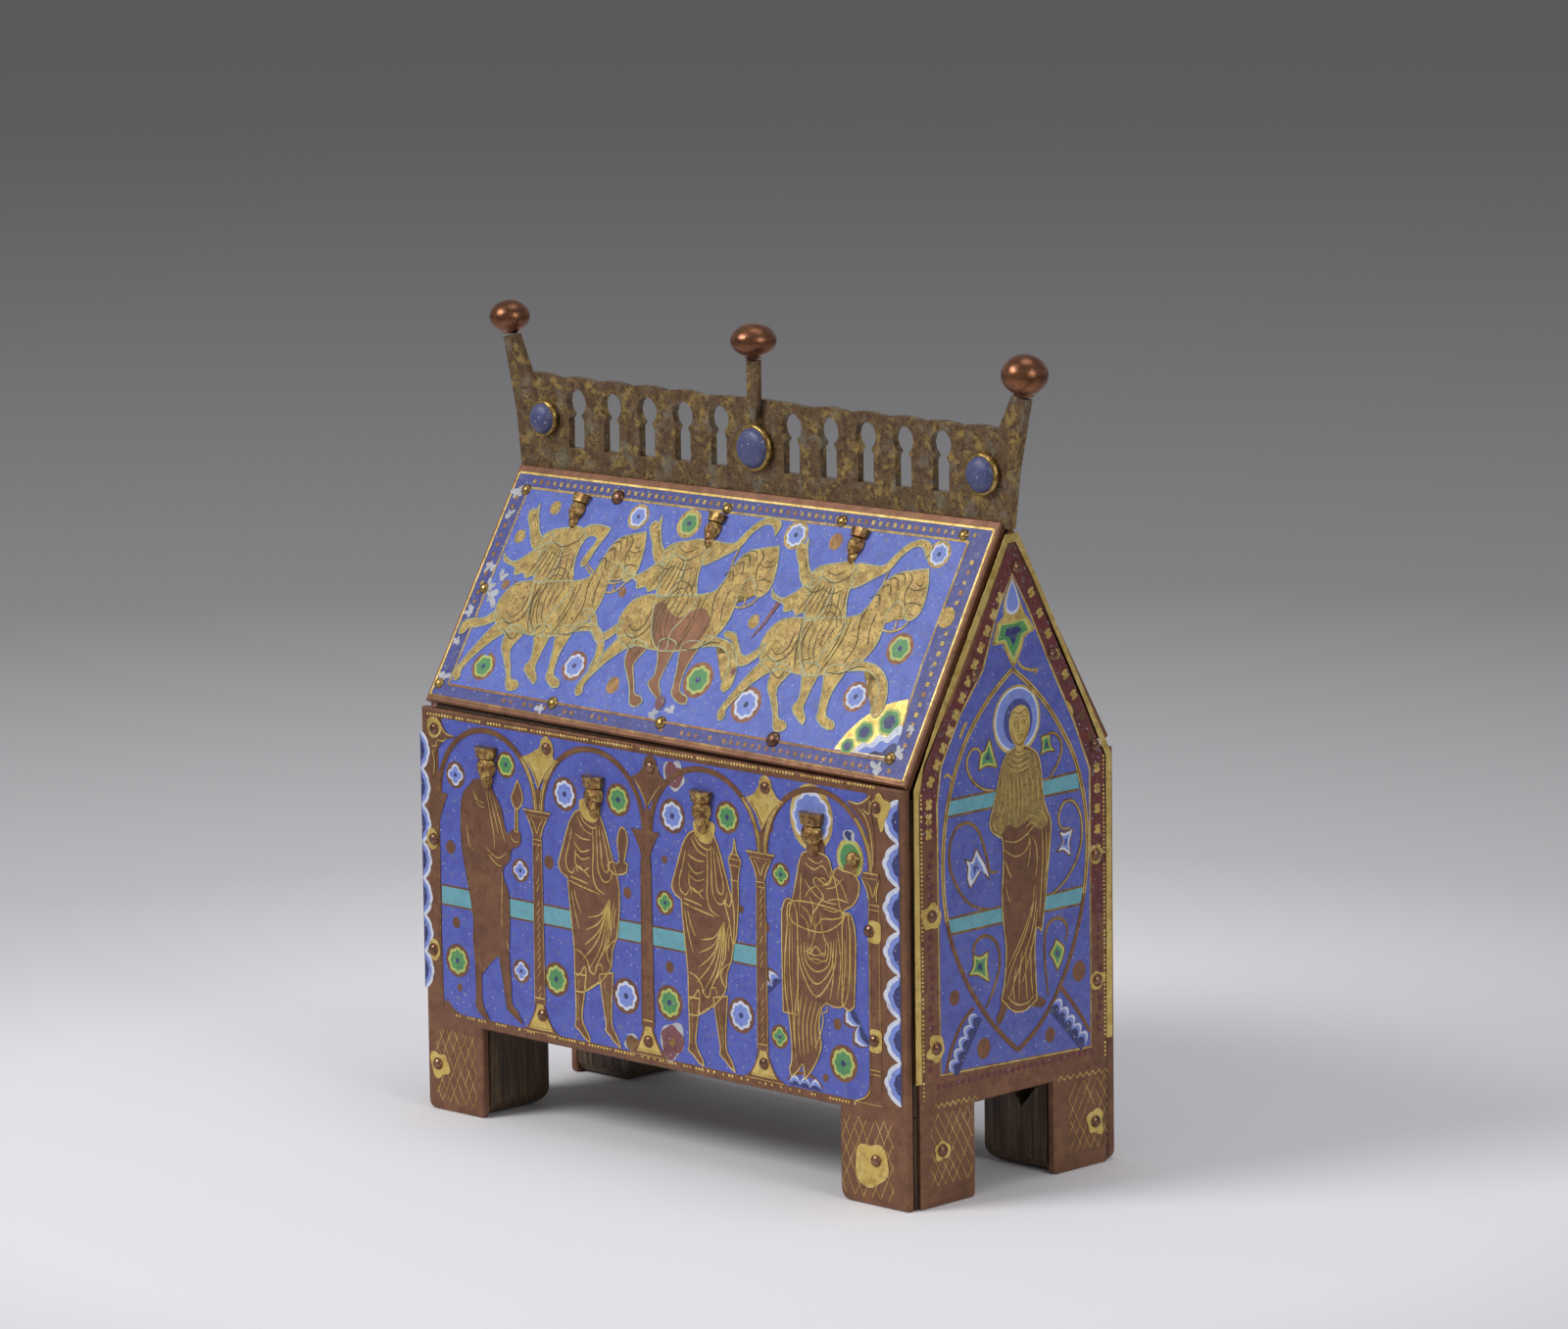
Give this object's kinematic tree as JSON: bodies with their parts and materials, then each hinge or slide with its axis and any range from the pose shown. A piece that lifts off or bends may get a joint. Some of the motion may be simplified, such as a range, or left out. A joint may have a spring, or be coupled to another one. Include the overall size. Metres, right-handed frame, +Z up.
{
  "type": "reliquary casket",
  "caption": "House-shaped reliquary casket of enamelled gilt copper plates nailed over a hollow wooden core, with a pitched roof, square feet, a pierced crest and ball knobs.",
  "frame": {"origin": "middle of the underside of the casket's bounding box, on the surface it stands on", "axes": "+X along the casket towards its right end, +Y towards its back, +Z up; the enamelled front with the standing figures faces -Y"},
  "size_m": [0.1809, 0.0756, 0.1975],
  "materials": {
    "gilt_copper": "worn gilt copper with flush champleve enamel, aged brown",
    "crest_copper": "worn gilt copper with a scatter of pits and green-grey corrosion",
    "knob_copper": "smooth dark red-brown copper, softly shining",
    "cast_gilt": "cast and gilt copper, rubbed brown on the high points",
    "blue_enamel": "glossy domed enamel in a copper collar",
    "old_wood": "dark, dry, unvarnished old wood with upright grain"
  },
  "bodies": {
    "root": {"front_wall_plate": "gilt_copper", "back_wall_plate": "gilt_copper", "left_gable_plate": "gilt_copper", "right_gable_plate": "gilt_copper", "front_roof_plate": "gilt_copper", "rear_roof_plate": "gilt_copper", "front_board": "old_wood", "back_board": "old_wood", "left_end_board": "old_wood", "right_end_board": "old_wood", "front_roof_board": "old_wood", "rear_roof_board": "old_wood", "floor_board": "old_wood", "front_left_foot": "old_wood", "front_right_foot": "old_wood", "rear_left_foot": "old_wood", "rear_right_foot": "old_wood", "crest_strip": "crest_copper", "crest_middle_post": "crest_copper", "crest_left_knob": "knob_copper", "crest_middle_knob": "knob_copper", "crest_right_knob": "knob_copper", "crest_left_boss": "blue_enamel", "crest_middle_boss": "blue_enamel", "crest_right_boss": "blue_enamel", "first_king_head": "cast_gilt", "second_king_head": "cast_gilt", "third_king_head": "cast_gilt", "lady_head": "cast_gilt", "child_head": "cast_gilt", "first_rider_head": "cast_gilt", "second_rider_head": "cast_gilt", "third_rider_head": "cast_gilt"}
  },
  "joints": []
}
